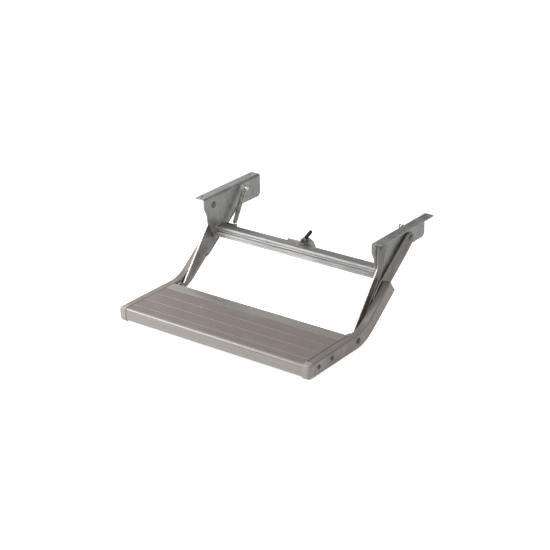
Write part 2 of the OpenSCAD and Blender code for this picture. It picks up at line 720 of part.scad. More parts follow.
// Ends of the latch plate and its rivets, and how far the beam's slot runs left of the lever's pivot
function latch_left() = lever_x - latch_w * 0.65;
function latch_right() = lever_x + latch_w * 0.35;
function latch_rivet_x() = [latch_left() + 9, latch_right() - 9];
function latch_rivet_z() = -beam_drop - beam_h * 0.52;
function tail_slot() = tail_len * 0.42 + tail_w;

// Upright plate on the back of the beam with an ear for the lever
module latch_plate() {
    top = -beam_drop;
    foot = top - beam_h + 4;
    ear_r = lever_pin_r + 4;
    color([0.45, 0.45, 0.43]) difference() {
        along_front(ear_y + lever_t, lever_t) polygon(rounded([[latch_left(), foot, 3],
            [latch_left(), top + 4, 3], [lever_x - ear_r - 2.5, top + 4, 5],
            [lever_x - ear_r, lever_z + ear_r, 6], [lever_x + ear_r + 2, lever_z + ear_r, 8],
            [latch_right() - 6, lever_z, 6], [latch_right(), top, 4], [latch_right(), foot, 3]]));
        bar_y([lever_x, lever_z], lever_pin_r + fixed_gap, ear_y - over, ear_y + lever_t + over);
        for (x = latch_rivet_x())
            bar_y([x, latch_rivet_z()], rivet_r + fixed_gap, ear_y - over, ear_y + lever_t + over);
    }
}

// Rivets through the plate and the back wall of the beam
module latch_rivets() {
    head_t = 1.5;
    color([0.62, 0.62, 0.60]) for (x = latch_rivet_x()) {
        bar_y([x, latch_rivet_z()], rivet_r, ear_y - beam_t, ear_y + lever_t);
        bar_y([x, latch_rivet_z()], rivet_r * 1.8, ear_y - beam_t - head_t, ear_y - beam_t);
        bar_y([x, latch_rivet_z()], rivet_r * 1.8, ear_y + lever_t, ear_y + lever_t + head_t);
    }
}

// Pin that the lever turns on
module latch_pin() {
    head_t = 2;
    color([0.30, 0.30, 0.30]) {
        bar_y([lever_x, lever_z], lever_pin_r, lever_y - lever_t - side_gap, ear_y + lever_t);
        bar_y([lever_x, lever_z], lever_pin_r * 1.7, lever_y - lever_t - side_gap - head_t,
            lever_y - lever_t - side_gap);
        bar_y([lever_x, lever_z], lever_pin_r * 1.7, ear_y + lever_t, ear_y + lever_t + head_t);
    }
}

// Coil spring round the pin, with one leg down to the beam and one along the lever
module torsion_spring() {
    wire_r = 0.8;
    leg_r = 0.7;
    coil_r = lever_pin_r + 2 * wire_r + 0.3;
    room = ear_y - lever_y - 2 * side_gap;
    turns = floor(room / (2 * wire_r));
    first = ear_y - side_gap - 2 * wire_r * turns;
    leg = lever_z + beam_drop - side_gap;
    color([0.15, 0.15, 0.15]) {
        translate([lever_x, 0, lever_z]) rotate([-90, 20, 0]) rotate_extrude()
            polygon(coils(coil_r, wire_r, turns, first));
        translate([lever_x - coil_r + wire_r, first + wire_r * (2 * turns - 1), lever_z - leg])
            cylinder(r = leg_r, h = leg, $fn = 16);
        translate([lever_x, first + wire_r, lever_z]) rotate([0, 90 - grip_angle, 0])
            translate([wire_r - coil_r, 0, 0]) cylinder(r = leg_r, h = 11, $fn = 16);
    }
}

// Lever with a rod for the grip and a tail that drops into the beam
module latch_lever() {
    hub = lever_pin_r + 4;
    tail = tail_w / 2;
    tail_foot = [-tail_len * 0.31, -tail_len];
    rod = [cos(grip_angle), sin(grip_angle)];
    side = [-rod[1], rod[0]];
    color([0.20, 0.20, 0.20]) difference() {
        union() {
            bar_y([lever_x, lever_z], hub, lever_y - lever_t, lever_y);
            translate([lever_x, 0, lever_z]) along_front(lever_y, lever_t) {
                polygon(rounded([[0, 0, 0], concat(-side * 5.5, 0), concat(rod * 12 - side * 3.4, 1),
                    concat(rod * 12 + side * 3.4, 1), concat(side * 5.5, 0)]));
                polygon(rounded([[-tail - 1, 0, 0], [tail + 1, 0, 0],
                    [tail_foot[0] + tail, tail_foot[1], 3], [tail_foot[0] - tail - 4, tail_foot[1], 2],
                    [tail_foot[0] - tail, tail_foot[1] + tail_w, 2]]));
            }
            translate([lever_x, lever_y - lever_t / 2, lever_z]) rotate([0, 90 - grip_angle, 0])
                translate([0, 0, rod_start]) cylinder(r = rod_r, h = grip_len + 1);
        }
        bar_y([lever_x, lever_z], lever_pin_r + running_gap, lever_y - lever_t - over, lever_y + over);
    }
}

// Soft sleeve with a domed end on the lever's rod
module lever_grip() {
    start = rod_start + 3.5;
    bore_end = rod_start + grip_len + 1 + fixed_gap;
    tip = start + grip_len + 1.5;
    color([0.08, 0.08, 0.08]) translate([lever_x, lever_y - lever_t / 2, lever_z])
        rotate([0, 90 - grip_angle, 0]) rotate_extrude()
            polygon(concat([[rod_r + fixed_gap, start], [grip_r - 0.6, start], [grip_r, start + 0.8],
                [grip_r, tip - grip_r * 0.6]],
                [for (a = [15:15:75]) [grip_r * cos(a), tip - grip_r * 0.6 + grip_r * 0.6 * sin(a)]],
                [[0, tip], [0, bore_end], [rod_r + fixed_gap, bore_end]]));
}

bracket();  // bracket_right
mirrored() bracket();  // bracket_left
cross_beam();
beam_end();  // beam_end_right
mirrored() beam_end();  // beam_end_left
beam_rivets();  // beam_rivets_right
mirrored() beam_rivets();  // beam_rivets_left
front_pivot_pin();  // front_pivot_pin_right
mirrored() front_pivot_pin();  // front_pivot_pin_left
rear_pivot_pin();  // rear_pivot_pin_right
mirrored() rear_pivot_pin();  // rear_pivot_pin_left
rear_pivot_collar();  // rear_pivot_collar_right
mirrored() rear_pivot_collar();  // rear_pivot_collar_left
spring_pin();  // spring_pin_right
mirrored() spring_pin();  // spring_pin_left
front_link();  // front_link_right
mirrored() front_link();  // front_link_left
rear_link();  // rear_link_right
mirrored() rear_link();  // rear_link_left
toggle_rivet();  // toggle_rivet_right
mirrored() toggle_rivet();  // toggle_rivet_left
spring_post();  // spring_post_right
mirrored() spring_post();  // spring_post_left
assist_spring();  // assist_spring_right
mirrored() assist_spring();  // assist_spring_left
tread();
grip_strip(0);  // grip_strip_1
grip_strip(1);  // grip_strip_2
grip_strip(2);  // grip_strip_3
grip_strip(3);  // grip_strip_4
side_arm();  // side_arm_right
mirrored() side_arm();  // side_arm_left
end_cap();  // end_cap_right
mirrored() end_cap();  // end_cap_left
arm_plug();  // arm_plug_right
mirrored() arm_plug();  // arm_plug_left
arm_screws();  // arm_screws_right
mirrored() arm_screws();  // arm_screws_left
pivot_bolt();  // pivot_bolt_right
mirrored() pivot_bolt();  // pivot_bolt_left
pivot_collar();  // pivot_collar_right
mirrored() pivot_collar();  // pivot_collar_left
pivot_nut();  // pivot_nut_right
mirrored() pivot_nut();  // pivot_nut_left
latch_plate();
latch_rivets();
latch_pin();
torsion_spring();
latch_lever();
lever_grip();
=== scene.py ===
"""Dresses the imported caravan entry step: finishes, sheet metal, wire springs, caps, grip and
screws, with floor, light and camera.

Everything is in metres in the part's own frame: X runs along the tread, -Y is the side
where the tread comes out, and Z is up. What is named ANGLE or ANGLES is in degrees.
"""
import json
import math

import bmesh
import bpy
from mathutils import Matrix, Vector
from mathutils.geometry import tessellate_polygon


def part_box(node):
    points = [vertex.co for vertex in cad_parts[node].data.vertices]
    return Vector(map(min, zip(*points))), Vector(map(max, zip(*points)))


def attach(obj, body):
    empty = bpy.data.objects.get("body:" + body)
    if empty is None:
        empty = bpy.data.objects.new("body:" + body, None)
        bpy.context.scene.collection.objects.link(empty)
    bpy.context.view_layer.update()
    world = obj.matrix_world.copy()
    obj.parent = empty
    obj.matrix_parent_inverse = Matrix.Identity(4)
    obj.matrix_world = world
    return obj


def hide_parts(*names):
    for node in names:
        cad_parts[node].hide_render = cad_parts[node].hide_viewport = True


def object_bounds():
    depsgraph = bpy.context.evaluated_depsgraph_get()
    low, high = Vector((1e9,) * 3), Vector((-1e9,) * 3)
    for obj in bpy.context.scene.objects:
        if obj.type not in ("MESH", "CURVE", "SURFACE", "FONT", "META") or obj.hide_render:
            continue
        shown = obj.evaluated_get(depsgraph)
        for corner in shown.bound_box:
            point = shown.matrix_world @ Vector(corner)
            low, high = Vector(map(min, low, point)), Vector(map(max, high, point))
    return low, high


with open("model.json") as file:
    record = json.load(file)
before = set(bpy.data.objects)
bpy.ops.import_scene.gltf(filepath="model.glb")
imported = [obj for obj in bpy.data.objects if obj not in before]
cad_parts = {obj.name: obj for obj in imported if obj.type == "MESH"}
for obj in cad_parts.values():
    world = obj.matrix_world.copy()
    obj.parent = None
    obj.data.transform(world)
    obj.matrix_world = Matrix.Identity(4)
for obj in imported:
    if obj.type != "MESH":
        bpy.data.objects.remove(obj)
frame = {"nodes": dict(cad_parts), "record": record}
cad_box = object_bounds()
scene = bpy.context.scene

# Camera that looks at the step as the photograph does
EYE = (1.95159, -2.72775, 1.29353)
CAMERA_RIGHT = (0.801697, 0.597427, -0.019049)
CAMERA_UP = (-0.226308, 0.332875, 0.915412)
CAMERA_BACK = (0.553233, -0.729572, 0.402067)
LENS_MM = 97.68
SENSOR_MM = 36.0
CLIP_END = 60

# Sides of the step, with the sign of X there
SIDES = {"right": 1, "left": -1}

# Radius that edges look rounded by, larger on the links
EDGE_R = 0.0007
LINK_EDGE_R = 0.0013
EDGE_SAMPLES = 4

# Angle between faces from which an edge of a new piece is sharp, and sides of what is turned round
SHARP_ANGLE = 35
ROUND_SIDES = 24

# Painted shade in the beam's grooves, as dark lines: height, half width, colour and share
BEAM_SHADE_LINES = (
    (-0.0899, 0.0015, (0.07, 0.068, 0.066, 1), 0.9),
    (-0.0955, 0.0018, (0.05, 0.049, 0.048, 1), 0.95),
    (-0.1035, 0.0010, (0.14, 0.138, 0.135, 1), 0.7),
)

# Light of the studio: strength of the world, then place, size and power in watts of each lamp
WHITE = (1, 1, 1, 1)
WORLD_LIGHT = 0.36
LAMPS = {
    "left_softbox": ((-1.8, -2.3, 1.1), 1.5, 14),
    "near_left_softbox": ((-0.9, -0.9, 0.75), 0.6, 12),
    "back_left_softbox": ((-1.9, 1.5, 0.9), 1.0, 4),
    "top_softbox": ((0.1, -1.1, 2.0), 1.5, 12),
    "right_fill": ((2.1, -2.1, 1.3), 1.6, 4.5),
}
AIM = (0, -0.2, -0.12)

# Floor, how far it lies below the step, and the glow that only the camera and reflections see
FLOOR_SIZE = 14
FLOOR_GAP = 0.001
FLOOR_COLOUR = (0.86, 0.86, 0.86, 1)
FLOOR_GLOW = 0.75

# Folded bracket, with the thickness of its sheet and the radius on the outside of its fold
SHEET_T = 0.003
FOLD_R = 0.005
FOLD_STEPS = 6
PLATE_H = 0.058
TIP_DROP = 0.114
SLOT_R = 0.0035
SLOT_LEN = 0.012
SLOT_INSET = 0.014
SLOT_END = 0.0165
HOLE_GAP = 0.0001
NECK_AHEAD = 0.026

# Spare holes in its plate: one in from the rear lower corner, one as (y, z, radius)
CORNER_HOLE_IN = 0.0095
CORNER_HOLE_UP = 0.0075
CORNER_HOLE_R = 0.0026
MIDDLE_HOLE = (0.005, -0.018, 0.002)

# Rear links, from the line between their pivots
REAR_TOP_R = 0.012
REAR_FOOT_R = 0.015
REAR_RISE = 0.0215
CORNER_STEPS = 7

# Pins and rivets that pass through the sheets; the spring posts are as thick as the spring pins
PIVOT_R = 0.0045
TOGGLE_R = 0.004
SPRING_PIN_R = 0.003
RIVET_R = 0.0025

# Assist springs, whose ends narrow to a share of the coil and turn into hooks
ASSIST_WIRE_R = 0.001
ASSIST_COIL_R = 0.005
ASSIST_PITCH = 0.00205
ASSIST_EYE_R = 0.0042
ASSIST_LEAN = 0.007
ASSIST_SLACK = 0.0018
ASSIST_END_TURNS = 0.45
ASSIST_END_SHARE = 0.12
HOOK_ANGLES = range(-230, 91, 12)
EYE_TO_COIL = 0.0016
POINTS_PER_TURN = 18

# Torsion spring on the latch lever
TORSION_WIRE_R = 0.00075
TORSION_COIL_R = 0.0041
TORSION_PITCH = 0.0016
TORSION_TURNS = 3
TORSION_FOOT = 0.0115
TORSION_ARM = 0.0105

# Grip of the latch lever, on a rod that rises at that angle; bore and rim are shares of its radius
GRIP_ANGLE = 51.4
ROD = Vector((math.cos(math.radians(GRIP_ANGLE)), 0, math.sin(math.radians(GRIP_ANGLE))))
GRIP_STRETCH = 0.004
GRIP_BORE = 0.62
GRIP_RIM = 0.9
GRIP_RIM_T = 0.0006
GRIP_PLAIN = 0.0016
GRIP_RIBS = 7
GRIP_GROOVE = 0.0012
GRIP_GROOVE_DEPTH = 0.0004
GRIP_SHARP_ANGLE = 50

# End caps: how much they stand proud of tread and arm, their radii, and a quarter turn in radians
CAP_PROUD = 0.0014
CAP_FOOT_PROUD = CAP_PROUD / 3
CAP_LIP = 0.0007
CAP_CORNER_R = 0.0075
CAP_NOSE_R = 0.008
CAP_MIN_R = 0.0005
QUARTER_TURN = [math.radians(a) for a in range(0, 91, 10)]

# Screws through the side arms; the dome is in shares of the head's radius and thickness, and the
# point and the floor of the socket are shares of their radii
SCREW_HEAD_R = 0.005
SCREW_HEAD_T = 0.0018
SCREW_DOME = ((1, 0), (1, 0.3), (0.93, 0.6), (0.78, 0.85), (0.58, 1))
SCREW_SHANK_R = 0.0025
SCREW_TIP = 0.0012
SCREW_POINT = 0.6
SOCKET_R = 0.0021
SOCKET_DEPTH = 0.0013
SOCKET_FLOOR = 0.96


def srgb(r, g, b):
    """Linear colour of an 8-bit sRGB one."""
    def one(v):
        v /= 255
        return v / 12.92 if v <= 0.04045 else ((v + 0.055) / 1.055) ** 2.4
    return one(r), one(g), one(b), 1.0


class Finish:
    """A procedural material on a Principled shader, with short ways to add what varies."""

    def __init__(self, name, metallic, roughness, specular=0.5, edge_r=EDGE_R):
        self.material = bpy.data.materials.new(name)
        self.material.use_nodes = True
        self.tree = self.material.node_tree
        self.shader = self.tree.nodes["Principled BSDF"]
        self.shader.inputs["Metallic"].default_value = metallic
        self.shader.inputs["Roughness"].default_value = roughness
        self.shader.inputs["Specular IOR Level"].default_value = specular
        where = self.add("TexCoord").outputs
        self.place, self.facing = where["Object"], where["Normal"]
        self.normal = self.add("Bevel", {"Radius": edge_r}, samples=EDGE_SAMPLES).outputs[0]
        self.soft_edge = self.normal

    def add(self, kind, inputs=None, **settings):
        """New node of that kind with its settings, and its inputs set or linked."""
        node = self.tree.nodes.new("ShaderNode" + kind)
        for key, value in settings.items():
            setattr(node, key, value)
        for key, value in (inputs or {}).items():
            if isinstance(value, bpy.types.NodeSocket):
                self.tree.links.new(value, node.inputs[key])
            else:
                node.inputs[key].default_value = value
        return node

    def stretched(self, stretch, turn=(0, 0, 0)):
        """The place on the object, turned and then scaled along each axis."""
        turned = self.add("Mapping", {"Vector": self.place,
                                      "Rotation": [math.radians(a) for a in turn]})
        return self.add("Mapping", {"Vector": turned.outputs[0], "Scale": stretch}).outputs[0]

    def noise(self, scale, stretch=(1, 1, 1), detail=5.0, roughness=0.6, turn=(0, 0, 0)):
        return self.add("TexNoise", {"Vector": self.stretched(stretch, turn), "Scale": scale,
                                     "Detail": detail, "Roughness": roughness}).outputs["Fac"]

    def spread(self, value, low, high, to_low=0.0, to_high=1.0):
        """Value mapped from low..high, and kept inside to_low..to_high."""
        return self.add("MapRange", {"Value": value, "From Min": low, "From Max": high,
                                     "To Min": to_low, "To Max": to_high}).outputs[0]

    def mixed(self, factor, a, b, blend="MIX"):
        """Colour between a and b by factor, or b laid on a with that blend."""
        node = self.add("Mix", data_type="RGBA", blend_type=blend)
        for socket, value in zip((node.inputs[0], node.inputs[6], node.inputs[7]), (factor, a, b)):
            if isinstance(value, bpy.types.NodeSocket):
                self.tree.links.new(value, socket)
            else:
                socket.default_value = value
        return node.outputs[2]

    def maths(self, operation, a, b=0.0):
        return self.add("Math", {0: a, 1: b}, operation=operation).outputs[0]

    def scaled(self, value, factor):
        return self.maths("MULTIPLY", value, factor)

    def component(self, vector, axis):
        return self.add("SeparateXYZ", {0: vector}).outputs[axis]

    def colour(self, socket):
        self.tree.links.new(socket, self.shader.inputs["Base Color"])

    def roughness(self, value, low, high):
        """Roughness that follows value from 0.3..0.7 to low..high."""
        value = self.spread(value, 0.3, 0.7, low, high)
        self.tree.links.new(value, self.shader.inputs["Roughness"])

    def bump(self, height, distance, strength=1.0):
        """Relief of that depth in metres, on top of the softened edges and any relief before."""
        self.normal = self.add("Bump", {"Height": height, "Distance": distance,
                                        "Strength": strength, "Normal": self.normal}).outputs[0]
        self.tree.links.new(self.normal, self.shader.inputs["Normal"])

    def rubbed_and_highlit_edges(self, colour, bright, amount):
        """Lighter colour along the edges, where the softened normal leaves the face's own: part
        rubbed wear and part painted highlight.
        """
        own = self.add("NewGeometry").outputs["Normal"]
        flat = self.add("VectorMath", {0: self.soft_edge, 1: own}, operation="DOT_PRODUCT")
        share = self.spread(flat.outputs["Value"], 0.8, 0.99, amount, 0.0)
        return self.mixed(share, colour, bright)


def zinc(name, dark, light, roughness, metallic, scale, stretch=(1, 1, 1), turn=(0, 0, 0),
         spangle=0.15, edge=srgb(196, 196, 192), worn=0.5, edge_r=EDGE_R, top=None, cut=None,
         lines=()):
    """Plated or coated sheet: cloudy tones, crystals, handling marks, edges lightened by rubbed
    wear and painted highlight, and a rolled grain if stretched. The colour top is painted shade
    that darkens what faces up, cut is the colour of what doesn't face along X, in part bare cut
    edges and in part painted highlight, and lines are painted shade lines (z, half width, colour,
    share) along X."""
    f = Finish(name, metallic, roughness, edge_r=edge_r)
    cloud = f.noise(scale, stretch, 6.0, 0.62, turn)
    colour = f.mixed(f.spread(cloud, 0.34, 0.66), dark, light)
    crystal = f.add("TexVoronoi", {"Vector": f.place, "Scale": 130.0})
    shade = f.add("RGBToBW", {0: crystal.outputs["Color"]}).outputs[0]
    colour = f.mixed(f.scaled(shade, spangle), colour, light)
    marks = f.noise(45.0, (1, 1, 1), 9.0, 0.75)
    colour = f.mixed(f.spread(marks, 0.58, 0.72, 0.0, 0.45), colour, dark)
    # Painted shade: faces that point up are darkened towards the top colour
    if top:
        up = f.spread(f.component(f.facing, "Z"), 0.3, 0.9)
        colour = f.mixed(f.scaled(up, f.spread(cloud, 0.3, 0.75, 0.5, 1.0)), colour, top)
    # Edges lightened to the edge colour: part rubbed wear, part painted highlight
    colour = f.rubbed_and_highlit_edges(colour, edge, worn)
    # Part painted highlight, part bare metal: faces not pointing along X, the cut edges, lightened
    # to the cut colour
    if cut:
        across = f.maths("ABSOLUTE", f.component(f.facing, "X"))
        edges = f.spread(across, 0.2, 0.7, 1.0, 0.0)
        colour = f.mixed(f.scaled(edges, f.spread(cloud, 0.3, 0.5, 0.6, 1.0)), colour, cut)
    # Painted shade: darker lines along X at the given heights, for the shade in the beam's grooves
    height = f.component(f.place, "Z")
    for z, half, tint, share in lines:
        away = f.maths("ABSOLUTE", f.maths("SUBTRACT", height, z))
        near = f.spread(away, half * 0.5, half, share, 0.0)
        colour = f.mixed(f.scaled(near, f.spread(cloud, 0.3, 0.5, 0.55, 1.0)), colour, tint)
    f.colour(colour)
    f.roughness(cloud, roughness - 0.07, roughness + 0.1)
    f.bump(f.noise(420.0, stretch, 3.0, 0.6, turn), 0.00012, 0.5)
    f.bump(marks, 0.0003, 0.25)
    return f.material


def tread_finish():
    """Satin extrusion with draw lines along X and faint greenish blotches."""
    f = Finish("tread_aluminium", 0.3, 0.4)
    lines = f.noise(60.0, (0.05, 6, 6), 5.0, 0.7)
    ground = f.mixed(f.spread(lines, 0.35, 0.65), srgb(138, 132, 128), srgb(166, 160, 155))
    blotch = f.noise(7.0, (1, 1.6, 1), 4.0)
    ground = f.mixed(f.spread(blotch, 0.42, 0.7, 0.0, 0.35), ground, srgb(142, 142, 133))
    # Nose and edges lightened: part rubbed wear, part painted highlight
    f.colour(f.rubbed_and_highlit_edges(ground, srgb(214, 207, 203), 0.6))
    f.roughness(lines, 0.32, 0.48)
    f.bump(lines, 0.0002, 0.35)
    f.bump(f.noise(900.0, (0.3, 1, 1), 2.0), 0.00006, 0.5)
    return f.material


def grip_finish():
    """Darker strips with fine ribs along X, a gritty face, and paler worn patches."""
    f = Finish("grip_surface", 0.12, 0.6, specular=0.35)
    fleck = f.noise(650.0, (0.4, 1, 1), 4.0, 0.7)
    ground = f.mixed(f.spread(fleck, 0.4, 0.75, 0.0, 0.5), srgb(142, 133, 129), srgb(106, 97, 94))
    streak = f.noise(26.0, (0.12, 3, 1), 5.0, 0.65)
    ground = f.mixed(f.spread(streak, 0.4, 0.7, 0.0, 0.35), ground, srgb(130, 119, 117))
    worn = f.noise(11.0, (0.6, 1.3, 1), 5.0)
    ground = f.mixed(f.spread(worn, 0.5, 0.78, 0.0, 0.35), ground, srgb(170, 163, 158))
    f.colour(ground)
    f.roughness(fleck, 0.48, 0.7)
    ribs = f.add("TexWave", {"Vector": f.place, "Scale": 105.0}, wave_type="BANDS",
                 bands_direction="Y", wave_profile="SIN")
    f.bump(ribs.outputs["Fac"], 0.0003, 0.55)
    f.bump(fleck, 0.00015, 0.6)
    return f.material


def arm_finish():
    """Satin tube with draw lines, a few rubs and grimy freckles."""
    f = Finish("arm_aluminium", 0.32, 0.4)
    lines = f.noise(70.0, (6, 0.35, 0.35), 5.0, 0.65)
    ground = f.mixed(f.spread(lines, 0.35, 0.65), srgb(128, 119, 115), srgb(150, 142, 138))
    blotch = f.noise(13.0, (1, 1, 1), 5.0)
    ground = f.mixed(f.spread(blotch, 0.5, 0.72, 0.0, 0.4), ground, srgb(126, 125, 117))
    freckle = f.noise(120.0, (1, 0.3, 0.3), 8.0, 0.75)
    ground = f.mixed(f.spread(freckle, 0.63, 0.74, 0.0, 0.5), ground, srgb(98, 92, 88))
    # Edges lightened: part rubbed wear, part painted highlight
    f.colour(f.rubbed_and_highlit_edges(ground, srgb(216, 209, 204), 0.7))
    f.roughness(blotch, 0.33, 0.5)
    f.bump(lines, 0.00016, 0.35)
    f.bump(f.noise(800.0, (1, 1, 1), 2.0), 0.00005, 0.5)
    return f.material


def moulded(name, colour, darker, roughness):
    """Moulded plastic with a spark-eroded grain and slight dirt."""
    f = Finish(name, 0.0, roughness, specular=0.45)
    blotch = f.noise(28.0, (1, 1, 1), 6.0)
    f.colour(f.mixed(f.spread(blotch, 0.4, 0.75, 0.0, 0.7), colour, darker))
    grain = f.noise(1500.0, (1, 1, 1), 2.0)
    f.roughness(grain, roughness - 0.06, roughness + 0.1)
    f.bump(grain, 0.00008, 0.6)
    return f.material


def wire_finish():
    """Oiled spring wire, brown with a dull sheen and rust freckles between the turns."""
    f = Finish("spring_steel", 0.55, 0.36)
    cloud = f.noise(90.0, (1, 1, 1), 6.0, 0.7)
    colour = f.mixed(f.spread(cloud, 0.35, 0.65), srgb(128, 123, 118), srgb(196, 191, 184))
    freckle = f.noise(380.0, (1, 1, 1), 4.0, 0.7)
    f.colour(f.mixed(f.spread(freckle, 0.6, 0.72, 0.0, 0.5), colour, srgb(108, 84, 68)))
    f.roughness(cloud, 0.28, 0.46)
    f.bump(freckle, 0.00006, 0.5)
    return f.material


def dark_finish():
    """Black-passivated steel with a cloudy sheen, brighter along its edges by rubbing and by a
    painted highlight.
    """
    f = Finish("dark_fastener", 0.55, 0.4)
    cloud = f.noise(160.0, (1, 1, 1), 6.0, 0.7)
    colour = f.mixed(f.spread(cloud, 0.4, 0.7), srgb(52, 49, 48), srgb(104, 100, 97))
    # Edges lightened: part rubbed wear, part painted highlight
    f.colour(f.rubbed_and_highlit_edges(colour, srgb(186, 183, 179), 0.75))
    f.roughness(cloud, 0.32, 0.5)
    f.bump(cloud, 0.0001, 0.3)
    return f.material


def rubber_finish():
    """Matt black sleeve with a fine grain and grey dust in places."""
    f = Finish("sleeve_rubber", 0.0, 0.62, specular=0.4)
    dust = f.noise(55.0, (1, 1, 1), 7.0, 0.7)
    f.colour(f.mixed(f.spread(dust, 0.5, 0.8, 0.0, 0.5), srgb(28, 28, 29), srgb(66, 65, 64)))
    f.roughness(dust, 0.5, 0.78)
    f.bump(f.noise(1300.0, (1, 1, 1), 3.0), 0.0001, 0.7)
    return f.material


FINISHES = {
    # The spring pins' near-white colour is a painted highlight on their zinc
    "highlit_pin": zinc("highlit_pin", srgb(186, 185, 182), srgb(232, 231, 228), 0.26, 0.4, 60.0),
    "rubbed_lever": zinc("rubbed_lever", srgb(74, 72, 70), srgb(168, 166, 163), 0.34, 0.45, 120.0),
    "bracket_paint": zinc("bracket_paint", srgb(112, 113, 112), srgb(160, 161, 159), 0.4, 0.45,
                          30.0, spangle=0.25, worn=0.55),
    # The beam's top colour is painted shade on its upper faces
    "beam_zinc": zinc("beam_zinc", srgb(160, 159, 157), srgb(232, 232, 230), 0.34, 0.3, 34.0,
                      stretch=(0.3, 4, 4), spangle=0.2, edge=srgb(240, 240, 238), worn=0.9,
                      top=srgb(90, 88, 88), lines=BEAM_SHADE_LINES),
    "bright_zinc": zinc("bright_zinc", srgb(98, 96, 93), srgb(138, 135, 131), 0.34, 0.5, 60.0),
    # The links' light edge and cut colours are in part painted highlight on their edges
    "link_zinc": zinc("link_zinc", srgb(78, 75, 71), srgb(128, 124, 118), 0.36, 0.4, 34.0,
                      stretch=(1.5, 0.7, 1.5), turn=(-37, 0, 0), edge=srgb(226, 220, 213), worn=0.9,
                      edge_r=LINK_EDGE_R, cut=srgb(216, 210, 203)),
    "spring_steel": wire_finish(),
    "tread_aluminium": tread_finish(),
    "grip_surface": grip_finish(),
    "arm_aluminium": arm_finish(),
    "cap_plastic": moulded("cap_plastic", srgb(170, 162, 158), srgb(148, 140, 136), 0.4),
    "plug_plastic": moulded("plug_plastic", srgb(52, 52, 52), srgb(38, 38, 38), 0.5),
    "dark_fastener": dark_finish(),
    "latch_zinc": zinc("latch_zinc", srgb(128, 128, 126), srgb(196, 196, 193), 0.34, 0.35, 90.0,
                       spangle=0.25),
    "sleeve_rubber": rubber_finish(),
}

# Nodes that look brighter than the rest of their slot; the spring pins' brighter colour is a
# painted highlight
OWN_FINISH = {"spring_pin_right": "highlit_pin", "spring_pin_left": "highlit_pin",
              "latch_lever": "rubbed_lever"}


def paint(obj, finish):
    obj.data.materials.clear()
    obj.data.materials.append(finish)


def dress_nodes():
    """Gives each CAD node the finish of its slot in the record."""
    for entry in frame["record"]["subparts"]:
        node = entry["node"]
        paint(frame["nodes"][node], FINISHES[OWN_FINISH.get(node, entry["material_slot"])])


def new_piece(name, verts, faces, slot, body, replaced, sharp=None):
    """A mesh piece in the part's frame that stands for a CAD node, smooth but for edges between
    faces that are that many degrees apart."""
    mesh = bpy.data.meshes.new(name)
    mesh.from_pydata([tuple(v) for v in verts], [], faces)
    mesh.validate()
    edit = bmesh.new()
    edit.from_mesh(mesh)
    bmesh.ops.recalc_face_normals(edit, faces=edit.faces)
    for face in edit.faces:
        face.smooth = True
    edit.to_mesh(mesh)
    edit.free()
    if sharp:
        mesh.set_sharp_from_angle(angle=math.radians(sharp))
    obj = bpy.data.objects.new(name, mesh)
    scene.collection.objects.link(obj)
    paint(obj, FINISHES[slot])
    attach(obj, body)
    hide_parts(replaced)


def around(count, first=0.0):
    """Angles of even steps round a circle, from that many steps on."""
    return [2 * math.pi * (k + first) / count for k in range(count)]


def skin(rings, count):
    """Faces between rings of count vertices each, and over both ends."""
    faces = [tuple(range(count)), tuple(range((rings - 1) * count, rings * count))]
    for first in range(0, (rings - 1) * count, count):
        for k in range(count):
            j = (k + 1) % count
            faces.append((first + k, first + j, first + count + j, first + count + k))
    return faces


def wire(points, radius, sides=8):
    """Vertices and faces of a round wire through the points, closed at both ends."""
    verts, normal = [], None
    for i, p in enumerate(points):
        along = (points[min(i + 1, len(points) - 1)] - points[max(i - 1, 0)]).normalized()
        normal = along.orthogonal() if normal is None else normal - along * normal.dot(along)
        normal.normalize()
        side = along.cross(normal)
        verts += [p + radius * (math.cos(a) * normal + math.sin(a) * side) for a in around(sides)]
    return verts, skin(len(points), sides)


def middle(node):
    low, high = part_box(node)
    return (low + high) / 2


def outline(corners):
    """Points round the corners (y, z, radius) of an outline, as in the part's source."""
    points = []
    for i, (y, z, radius) in enumerate(corners):
        b = Vector((y, z))
        u = (Vector(corners[i - 1][:2]) - b).normalized()
        v = (Vector(corners[(i + 1) % len(corners)][:2]) - b).normalized()
        if radius == 0:
            points.append(b)
            continue
        half = math.acos(u.dot(v)) / 2
        centre = b + (u + v).normalized() * radius / math.sin(half)
        first = b + u * radius / math.tan(half) - centre
        turn = first.angle_signed(b + v * radius / math.tan(half) - centre)
        for k in range(CORNER_STEPS + 1):
            points.append(centre + Matrix.Rotation(-turn * k / CORNER_STEPS, 2) @ first)
    return points


def hole(centre, radius, run=0.0, count=32):
    """Round hole, or a slot whose ends stand that far apart along its second axis."""
    points = []
    for a in around(count, 0.5):
        points.append(Vector(centre) + Vector((radius * math.cos(a), radius * math.sin(a)
                                               + math.copysign(run / 2, math.sin(a)))))
    return points


def sheet(panels, place):
    """Vertices and faces of a sheet: panels are [outline, holes...] drawn flat, and place(u, v, t)
    puts a point of them in space, t running from 0 to 1 through the thickness."""
    spots, flat, uses = {}, [], {}
    for loops in panels:
        points = [p for loop in loops for p in loop]
        for triangle in tessellate_polygon([[p.to_3d() for p in loop] for loop in loops]):
            corners = [(round(points[i].x, 7), round(points[i].y, 7)) for i in triangle]
            flat.append([spots.setdefault(corner, len(spots)) for corner in corners])
    verts = [place(u, v, t) for t in (0, 1) for u, v in spots]
    count = len(spots)
    faces = [tuple(f) for f in flat] + [tuple(count + i for i in reversed(f)) for f in flat]
    for f in flat:
        for i, j in zip(f, f[1:] + f[:1]):
            uses.setdefault(frozenset((i, j)), []).append((i, j))
    faces += [(j, i, count + i, count + j) for (i, j), *more in uses.values() if not more]
    return verts, faces


